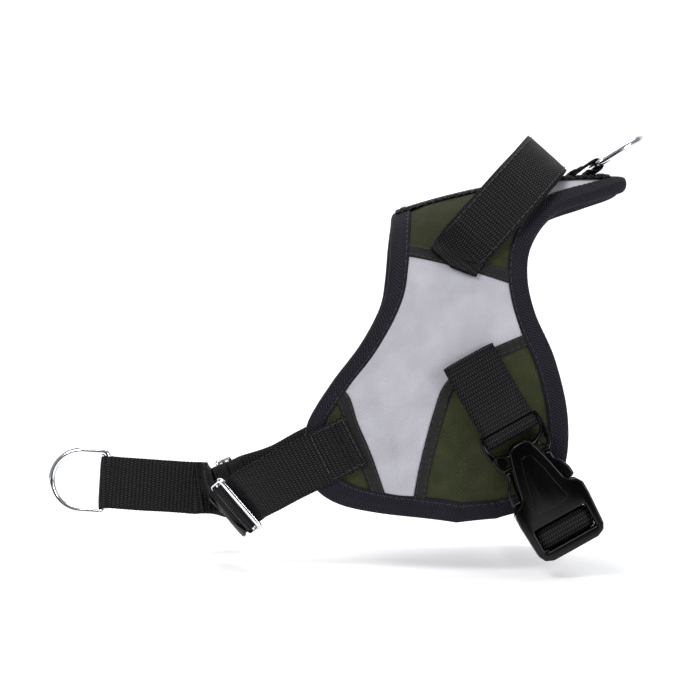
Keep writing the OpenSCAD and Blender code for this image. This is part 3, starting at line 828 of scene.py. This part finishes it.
def spine():
    """The webbing along the back, and the tab that holds the back ring."""
    line = np.array([[-36.0, 0.0], [66.0, 0.0]])
    rule, length = surface_rule(evenly(line, 200), TOP_N + 1.55)
    settle(strap("spine_webbing", rule, length, WEB_W, WEB_T, WEBBING), "root", "spine_webbing")
    rows = side_rows(rule, 1, length - 1, 10.6, ON_WEB)
    for s in (3.5, length - 3.5):
        rows.append(zigzag_path(rule, s, 10.6, 1.0, 1.1, ON_WEB + 0.1))
    sewn("spine_stitches", rows)

    flat = [(47.5, 14.4), (50, 14.8), (53.5, 16.7)] + turn_round(BACK_BAR, RING_WRAP, 125, -50)
    flat += [(59.3, 14.95), (55.5, 14.95)]
    path = np.array([[x, 0, z] for x, z in flat])
    tab, place, _ = free_strap("back_ring_tab", path, [0, 1, 0])
    settle(tab, "root", "back_ring_tab")
    sewn("back_tab_stitches", [zigzag_path(place, s, 11, 0.9, 1.1, h)
                               for s in (2.2, 5.0) for h in (-0.8, 0.8)])


HANDLE_FOOT = np.array([0.7, 0.0, -16.2])
HANDLE_UP = np.array([math.cos(math.radians(48)), 0, math.sin(math.radians(48))])
HANDLE_SPREAD, HANDLE_RISE = 48.0, 53.5


def handle():
    """Two layers of webbing sewn together, from one flank over the back to the other."""
    wide = np.array([HANDLE_UP[2], 0, -HANDLE_UP[0]])

    def half(sign):
        foot = HANDLE_FOOT + [0, -sign * HANDLE_SPREAD, 0]
        flat = [on_body(x, sign * t, n) for x, t, n in ((-12.0, 57.6, 6.75), (-10.5, 55.0, 6.75),
                                                        (-8.6, 52.0, 6.8))]
        return np.array(flat + [foot - 5 * HANDLE_UP])
    loop = [HANDLE_FOOT + np.array([0, -HANDLE_SPREAD * math.cos(a), 0])
            + HANDLE_RISE * math.sin(a) * HANDLE_UP for a in np.linspace(0, math.pi, 33)]
    path = np.vstack([half(1), loop, half(-1)[::-1]])
    # The sewn ends' width runs between these two corners
    back, fore = on_body(np.array([-1.2, -19.8]), np.array([63.4, 46.6]), 6.7)
    low_wide = hats(back - fore)
    dirs = np.vstack([[low_wide] * 3, [wide] * (len(path) - 6), [low_wide * [1, -1, 1]] * 3])
    dense = even(curve(path, count=1200), 0.5)
    share = lengths(path) / lengths(path)[-1]
    place, length = path_rule(dense, along_line(np.linspace(0, 1, len(dense)), share, dirs))
    slant, fade = 0.42, 14.0

    def slanted(s, w, h):
        """The strap's ends are cut at a slant, which fades out along it."""
        pull = np.clip(1 - s / fade, 0, 1) - np.clip(1 - (length - s) / fade, 0, 1)
        return place(np.clip(s - slant * w * pull, 0, length), w, h)

    def layer(name, lift):
        piece = strap(name, lambda s, w, h: slanted(s, w, h + lift), length, WEB_W, 1.3, WEBBING)
        return blend_handle(piece)
    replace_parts(layer("handle_outer", 0.68), "handle", "handle_end_left", "handle_end_right")
    layer("handle_inner", -0.68)
    rows = [p for side in (-1, 1) for face in (-1, 1)
            for p in stitch_paths(slanted, 9, length - 9, side * (WEB_W / 2 - 1.9), face * 1.34)]
    blend_handle(thread("handle_stitches", rows))
    sewn("handle_bartacks", [zigzag_path(slanted, at, 10.8, 0.9, 1.1, 1.42)
                             for s in (3.0, 6.2) for at in (s, length - s)])


def blend_handle(piece):
    start, end = HANDLE_FOOT - 5 * HANDLE_UP, HANDLE_FOOT + 7 * HANDLE_UP
    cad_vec(start)
    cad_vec(end)
    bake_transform(piece)
    return piece


def girth_path(pairs):
    """Points in the girth strap's plane, from pairs along the strap and on Y."""
    return np.array([GIRTH_AT + a * GIRTH_DIR + [0, y - GIRTH_AT[1], 0] for a, y in pairs])


def girth_webbing():
    """The stub that holds the plug, and the belly strap from the socket to the right flank."""
    y0 = GIRTH_AT[1]
    pairs = [(-31, 7.35), (-14, 5.1), (-5, 3.35)] + turn_round((PLUG_BAR, 0), 2.85, 120, -120)
    pairs += [(-5, -0.1), (-14, 3.45), (-31, 5.8), (-33.4, 5.45), (-34.6, 6.3), (-33.6, 7.35)]
    path = girth_path([(a, y + y0) for a, y in pairs + pairs[:1]])
    stub, place, length = free_strap("girth_stub_webbing", path, GIRTH_WIDE)
    settle(stub, "root", "girth_stub")
    top = length - 5.4
    rows = side_rows(place, length / 2 + 14, top, 10.9, ON_WEB)
    rows += [p for s in (top - 0.4, top - 13.0) for p in cross_stitches(place, s, 10.4, ON_WEB)]
    rows.append(zigzag_path(place, top - 15.6, 10.4, 0.9, 1.1, ON_WEB + 0.1))
    sewn("girth_stub_stitches", rows)

    # The turn is stretched along the strap, because the bar in the window is a wide flat one
    pairs = [(47.2, -36), (47.9, -50), (48.6, -61)]
    pairs += [(WEB_BAR + (a - WEB_BAR) * 1.6, y + y0)
              for a, y in turn_round((WEB_BAR, 0), 2.85, 150, 400, 22)]
    pairs += [(49.8, -50), (47, -25), (46, 5), (46, 35), (44.5, 55), (38, 62.6), (28, 63.6),
              (12, 64.4), (-6, 63.7), (-20, 62.1), (-33, 60.9)]
    belly, place, length = free_strap("belly_webbing", girth_path(pairs), GIRTH_WIDE)
    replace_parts(blend_belly(belly), "belly_strap")
    rows = side_rows(place, length - 40, length - 2, 10.9, -ON_WEB)
    for s, h in ((length - 2.6, -ON_WEB), (length - 22, -ON_WEB), (3.0, ON_WEB), (14.0, ON_WEB)):
        rows += cross_stitches(place, s, 10.4, h)
    blend_belly(thread("belly_stitches", rows))


def blend_belly(piece):
    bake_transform(piece)
    return piece


def cross_stitches(place, s, reach, h):
    """A row of stitches across a strap."""
    paths = []
    for w in np.arange(-reach, reach - STITCH, STITCH + STITCH_GAP):
        f = np.linspace(0, 1, 6)
        lift = np.sign(h) * 0.2 * np.sin(f * math.pi)
        paths.append(place(np.full(6, s), w + f * STITCH, h + lift))
    return paths


spine()
handle()
girth_webbing()


# ------------ metal
def closed_tube(points, radius, normal, sides):
    """A closed round bar along a flat loop of points."""
    step = np.roll(points, -1, axis=0) - np.roll(points, 1, axis=0)
    side = hats(np.cross(hats(step), normal))
    a = np.arange(sides)[None, :, None] * 2 * math.pi / sides
    rings = points[:, None, :] + radius * (np.cos(a) * side[:, None, :] + np.sin(a) * normal)
    return rings.reshape(-1, 3), loops_to_faces(len(points), sides, closed_path=True)


def rounded_loop(corners, radius, step=0.35):
    """A closed polygon with its corners rounded, as evenly spaced points."""
    corners = np.asarray(corners, float)
    f = np.linspace(0, 1, 8)[:, None]
    arcs = []
    for k, corner in enumerate(corners):
        back, on = corners[k - 1] - corner, corners[(k + 1) % len(corners)] - corner
        half = math.acos(np.clip(np.dot(hats(back), hats(on)), -1, 1)) / 2
        cut = min(radius / math.tan(half), 0.49 * np.linalg.norm(back), 0.49 * np.linalg.norm(on))
        start, end = corner + hats(back) * cut, corner + hats(on) * cut
        arcs.append(start * (1 - f) ** 2 + corner * 2 * f * (1 - f) + end * f ** 2)
    loop = np.vstack(arcs)
    return even(np.vstack([loop, loop[:1]]), step)[:-1]


def d_ring(where, bar, outward, long):
    """A wire D: its straight bar lies in the strap's turn, and its bow points outward."""
    half, bend = 12.8 + RING_WIRE_R, 2.2
    leg = 28 - RING_WIRE_R - half
    corner = np.linspace(0, math.pi / 2, 8)
    flat = [(bend - bend * math.sin(a), half - bend + bend * math.cos(a)) for a in corner[::-1]]
    arc = [(leg + half * math.sin(a), half * math.cos(a)) for a in np.linspace(0, math.pi, 40)]
    flat = flat[:-1] + [(bend, half)] + arc + [(u, -v) for u, v in flat[::-1]]
    flat = even(np.array(flat + flat[:1]), 0.6)[:-1]
    bar, outward, long = (np.asarray(v, float) for v in (bar, outward, long))
    points = bar + flat[:, :1] * outward + flat[:, 1:] * long
    wire = closed_tube(points, RING_WIRE_R, np.cross(outward, long), 24)
    settle(joined(where + "_d_ring", [wire], CHROME), where + "_ring", where + "_ring")


def slide_frame(at, direction, long):
    """A slide's middle and its axes: along the strap, out of its face and along its bars."""
    long = hats(np.array(long))
    x = hats(direction - long * np.dot(direction, long))
    return np.array(at, float), x, np.cross(x, long), long


def slide(side):
    """A flat wire frame with a bar across its middle."""
    at, x, z, long = SLIDES[side][0]
    half_w, half_l = 8.5 - SLIDE_WIRE_R, 15.5 - SLIDE_WIRE_R
    corners = [(-half_w, -half_l), (half_w, -half_l), (half_w, half_l), (-half_w, half_l)]
    loop = rounded_loop(corners, 2.4)
    wire = closed_tube(at + loop[:, :1] * x + loop[:, 1:] * long, SLIDE_WIRE_R, z, 20)
    bar = np.array([at + long * v for v in np.linspace(-half_l, half_l, 16)])
    name = "slide_" + side
    settle(joined(name + "_wire", [wire, tube(bar, SLIDE_BAR_R, 18)], CHROME), name, name)


# ------------ chest straps
SLIDE_BAR = 7.3                 # from the middle bar to the front bar
SLIDE_WIRE_R, SLIDE_BAR_R = 1.25, 1.15
SLIDE_WRAP = 1.2 + 0.75 + WEB_T / 2
RING_LONG = hats(np.array([-0.06, 0.0, -0.998]))
CHEST_BAR = np.array([-176.0, 0.0, -134.6])
LAYER_Y = 1.1                   # the two straps lie face to face, each this far from the middle
STUB_WIDE = np.array([0.454, 0, -0.891])
# For each slide its frame, the flank's sign on Y, and the sign of the side its straps turn to
SLIDES = {
    "left": (slide_frame([-111, -30, -143.6], [-0.338, 0.89, -0.289], [0.651, 0, -0.759]), -1, 1),
    "right": (slide_frame([-117, 28, -139], [-0.32, -0.94, -0.12], [0.34, 0, -0.94]), 1, -1)}


def in_slide(frame_of, a, b):
    at, x, z, _ = frame_of
    return at + a * x + b * z


def chest_stub(side):
    """The short strap from the flank, turned round the slide's middle bar."""
    frame_of, y, s = SLIDES[side]
    flank = [[-55.5, y * 55.3, -111.4], [-68, y * 54.4, -117.8], [-80, y * 52.3, -123.9],
             [-93, y * 47.5, -131]]
    pairs = [(-14, -SLIDE_WRAP - 2.1), (-7.5, -SLIDE_WRAP - 1.3)]
    pairs += turn_round((0, 0), SLIDE_WRAP, -90, 112, 11) + [(-3.0, 1.2), (-3.9, -0.6)]
    path = np.array(flank + [in_slide(frame_of, a, s * b) for a, b in pairs])
    turn = ease((np.arange(len(path)) + 1) / 6)[:, None]
    dirs = hats(STUB_WIDE + (frame_of[3] - STUB_WIDE) * turn)
    stub, place, _ = free_strap("chest_stub_webbing_" + side, path, dirs)
    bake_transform(stub)
    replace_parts(stub, "chest_stub_" + side)
    rows = []
    for face in (-1, 1):
        rows += side_rows(place, 0.8, 17, 11, face * ON_WEB)
        rows += [p for at in (1.2, 17.2) for p in cross_stitches(place, at, 10.6, face * ON_WEB)]
        rows += [zigzag_path(place, at, 10.6, 0.9, 1.0, face * (ON_WEB + 0.1))
                 for at in (4.0, 6.4, 8.8)]
    sewn("chest_stub_stitches_" + side, rows)


def chest_webbing(side):
    """The strap from the slide's front bar to the chest ring."""
    frame_of, y, s = SLIDES[side]
    pairs = [(SLIDE_BAR + 9, -0.15), (SLIDE_BAR + 4.5, -1.3)]
    pairs += turn_round((SLIDE_BAR, 0), SLIDE_WRAP, 260, 90, 10)
    pairs += [(SLIDE_BAR + 1, SLIDE_WRAP + 0.1), (14, 1.6)]
    leg = [[-127, y * 3.2, -138], [-134, y * LAYER_Y, -137.4], [-151, y * LAYER_Y, -136.3],
           [-168, y * LAYER_Y, -135.2]]
    around = [CHEST_BAR + [a, y * b, 0] for a, b in turn_round((0, 0), RING_WRAP, 60, 180, 8)]
    path = np.array([in_slide(frame_of, a, s * b) for a, b in pairs] + leg + around)
    turn = ease((np.arange(len(path)) + 1 - len(pairs)) / 3)[:, None]
    dirs = hats(frame_of[3] + (RING_LONG - frame_of[3]) * turn)
    webbing, place, length = free_strap("chest_webbing_" + side, path, dirs)
    blend_slide(webbing, side)
    if side == "left":
        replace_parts(webbing, "chest_webbing")
    dense = np.linspace(0, length, 400)
    off_end = (dense > length - 6) * 99         # keeps the search off the turn round the ring
    x_of = place(dense, dense * 0, dense * 0)[:, 0]
    start, tacks = (dense[np.argmin(np.abs(x_of - x) + off_end)] for x in (-137.0, -166.5))
    rows = side_rows(place, start, tacks - 4, 11, -s * ON_WEB)
    sewn("chest_stitches_" + side, rows, "chest_strap")
    rows = [zigzag_path(place, tacks + d, 10.6, 1.05, 1.0, -s * (ON_WEB + 0.12))
            for d in (-3.1, 3.1)]
    bartacks = thread("chest_bartacks_" + side, rows, THREAD_R * 1.2)
    nodes = ["chest_bartack"] if side == "left" else []
    settle(bartacks, "chest_strap", *nodes, slot="thread")


def blend_slide(piece, side):
    frame_of = SLIDES[side][0]
    start, end = in_slide(frame_of, 20, 0), in_slide(frame_of, 9, 0)
    "slide_" + side
    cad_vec(start)
    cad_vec(end)
    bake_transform(piece)


for flank_side in SLIDES:
    slide(flank_side)
for flank_side in SLIDES:
    chest_stub(flank_side)
    chest_webbing(flank_side)
lift = math.radians(32)
d_ring("back", [BACK_BAR[0], 0, BACK_BAR[1]], [math.cos(lift), 0, math.sin(lift)], [0, 1, 0])
d_ring("chest", CHEST_BAR, [RING_LONG[2], 0, -RING_LONG[0]], RING_LONG)


# ------------ buckle
def slab(outline, holes, middle, thick, bevel):
    """A flat plate with rounded edges and holes, in the girth strap's own frame."""
    data = bpy.data.curves.new("outline", "CURVE")
    data.dimensions, data.fill_mode = "2D", "BOTH"
    data.extrude, data.bevel_depth, data.offset = thick / 2 - bevel, bevel, -bevel
    data.bevel_resolution = 3
    for loop in [outline] + holes:
        spline = data.splines.new("POLY")
        spline.points.add(len(loop) - 1)
        points = np.column_stack([loop, np.zeros(len(loop)), np.ones(len(loop))])
        spline.points.foreach_set("co", points.ravel())
        spline.use_cyclic_u = True
    shape = bpy.data.objects.new("outline", data)
    scene.collection.objects.link(shape)
    mesh = bpy.data.meshes.new_from_object(shape.evaluated_get(bpy.context.evaluated_depsgraph_get()))
    bpy.data.objects.remove(shape)
    work = bmesh.new()
    work.from_mesh(mesh)
    bmesh.ops.remove_doubles(work, verts=work.verts, dist=0.002)
    work.verts.ensure_lookup_table()
    local = np.array([v.co[:] for v in work.verts])
    faces = [[v.index for v in f.verts] for f in work.faces]
    work.free()
    bpy.data.meshes.remove(mesh)
    return (GIRTH_AT + local[:, :1] * GIRTH_DIR + local[:, 1:2] * GIRTH_WIDE
            + (local[:, 2:] + middle) * np.array([0, -1, 0])), faces


def smooth_outline(half, radius):
    """A rounded outline from one half of it, listed from the low end to the high end."""
    half = np.asarray(half, float)
    other = [point for point in half[::-1] * [1, -1] if abs(point[1]) > 1e-6]
    return rounded_loop(np.vstack([half, other]), radius, 0.45)


def moulded(name, parts, body, node):
    """A plastic part, smooth but for its sharp edges."""
    piece = joined(name, parts, PLASTIC)
    piece.data.set_sharp_from_angle(angle=math.radians(34))
    settle(piece, body, node)


def buckle():
    """The plug with its two latch arms, and the socket they click into."""
    outline = smooth_outline([(-0.6, 13.6), (1, 14.3), (5, 15), (11, 14.7), (16, 13.1), (18.2, 11.4)], 1.2)
    strap_hole = smooth_outline([(0.9, 12.9), (5.2, 12.9), (6.5, 12.7), (9.6, 11.2), (11.6, 7), (12.2, 0)],
                                0.8)
    ears = [rounded_loop([(10.9, s * 13.2), (16.2, s * 11.4), (13.6, s * 8.6)], 0.7, 0.4)
            for s in (-1, 1)]
    bar = np.array([GIRTH_AT + PLUG_BAR * GIRTH_DIR + w * GIRTH_WIDE for w in np.linspace(-14, 14, 24)])
    moulded("buckle_plug", [
        slab(outline, [strap_hole] + ears, 0, 6, 1.1),
        slab(smooth_outline([(16, 2.5), (33, 2.5)], 0.6), [], 0, 3, 0.5),
        slab(smooth_outline([(32.5, 3.75), (37, 3.75), (37.6, 2.8)], 0.8), [], 0, 3, 0.5),
        tube(bar, 1.7, 18)], "root", "buckle_male")

    arm = [(18.5, 11.3), (22, 11.4), (25.6, 13.9), (29, 15.3), (32.6, 15.6), (33.6, 14.4), (33.6, 10.8),
           (28, 10), (22, 8.8), (18.5, 8.4)]
    for sign, where in ((1, "rear"), (-1, "front")):
        loop = rounded_loop([(a, sign * w) for a, w in arm], 0.9, 0.4)
        node = "latch_arm_" + where
        moulded(node + "_moulded", [slab(loop, [], 0, 4.8, 1.1)], "latch_" + where, node)

    shoulder = smooth_outline([(36.4, 16.2), (38.2, 16.95), (43, 17.05), (57.5, 16.2), (60.4, 14.6),
                               (62, 11)], 1.4)
    spade = smooth_outline([(9.1, 0), (9.3, 2.5), (10.6, 5.2), (15.5, 6.8), (24, 9), (31.5, 10.6),
                            (33.6, 12.2), (35, 15.2), (37.5, 16.9), (43, 17.0), (57.5, 16.1), (60.4, 14.6),
                            (61.9, 11)], 1.4)
    inset = smooth_outline([(15.5, 0), (16.0, 2.6), (24, 4.9), (33, 6.6), (40.5, 8.4), (41.6, 0)], 1.6)
    window = rounded_loop([(46.4, -12.8), (57.3, -12.8), (57.3, 12.8), (46.4, 12.8)], 0.9, 0.45)
    low, high = WEB_BAR - 3.5, WEB_BAR + 3.5
    web_bar = rounded_loop([(low, -15), (high, -15), (high, 15), (low, 15)], 0.5, 0.8)
    parts = [slab(shoulder, [window], 0, 10.4, 1.5)]
    parts += [slab(spade, [window], side * 4.4, 2.2, 0.85) for side in (-1, 1)]
    parts += [slab(inset, [], side * 5.36, 0.5, 0.22) for side in (-1, 1)]
    parts.append(slab(web_bar, [], 0, 3.4, 1.2))
    moulded("buckle_socket", parts, "socket", "buckle_female")


buckle()


# ------------ camera, floor and light
def studio():
    """A pale sweep under and behind the vest, soft light, and a long lens square to the vest's left side."""
    lens, sensor = 85.0, 36.0
    distance, aim = 0.8, (-0.058, -0.0707)
    camera_data = bpy.data.cameras.new("camera")
    camera_data.lens, camera_data.sensor_width = lens, sensor
    camera_data.clip_start = 0.05
    camera = bpy.data.objects.new("camera", camera_data)
    camera.location = (aim[0], -distance, aim[1])
    camera.rotation_euler = (math.radians(90), 0, 0)
    scene.collection.objects.link(camera)
    scene.camera = camera

    paper = Material("paper_sweep", (0.86, 0.86, 0.87), 0.9)
    paper.shader.inputs["Emission Color"].default_value = (1, 1, 1, 1)
    paper.shader.inputs["Emission Strength"].default_value = 0.32
    paper.bump(paper.noise(3.0, 2.0), 0.02, 0.3)
    floor_z = (cad_box[0].z - 0.004) / MM
    profile = [[-1700, 0], [600, 0], [900, 60], [1080, 240], [1140, 600], [1140, 2200]]
    line = curve([[y, floor_z + rise] for y, rise in profile], count=60)
    points = [[x, y, z] for y, z in line for x in (-2600, 2600)]
    sweep = make_piece("paper_sweep", points, grid_faces(len(line), 2), paper.material)

    # A black card under and behind the camera, which only reflections see, keeps the plastic deep
    # and puts dark streaks in the metal
    card_near, card_far, card_top = -190, -1150, 330
    profile = [(card_near, floor_z + 1), (card_far, floor_z + 1), (card_far, card_top)]
    corners = [[x, y, z] for y, z in profile for x in (-600, 480)]
    black = Material("black_card", (0.0, 0.0, 0.0), 1.0, Specular_IOR_Level=0.0)
    card = make_piece("black_card", corners, grid_faces(len(profile), 2), black.material)
    card.visible_camera = card.visible_diffuse = card.visible_shadow = False

    world = bpy.data.worlds.new("studio")
    scene.world = world
    world.use_nodes = True
    sky = world.node_tree.nodes["Background"].inputs
    sky["Color"].default_value, sky["Strength"].default_value = (0.93, 0.95, 1.0, 1), 0.3

    def softbox(name, place, target, size, power):
        data = bpy.data.lights.new(name, "AREA")
        data.shape, data.size, data.size_y, data.energy = "RECTANGLE", size[0], size[1], power
        light = bpy.data.objects.new(name, data)
        light.location = place
        away = np.array(place) - np.array(target)
        tilt, turn = math.acos(away[2] / np.linalg.norm(away)), math.atan2(away[1], away[0])
        light.rotation_euler = (tilt, 0, turn + math.pi / 2)
        scene.collection.objects.link(light)

    centre = (-0.05, 0, -0.07)
    softbox("key", (-0.7, -1.1, 0.9), centre, (0.6, 0.6), 14)
    softbox("fill", (0.9, -0.9, 0.25), centre, (0.4, 0.7), 8)
    softbox("top", (0.0, 0.2, 1.1), centre, (0.9, 0.5), 8)
    scene.view_settings.view_transform = "Standard"


studio()
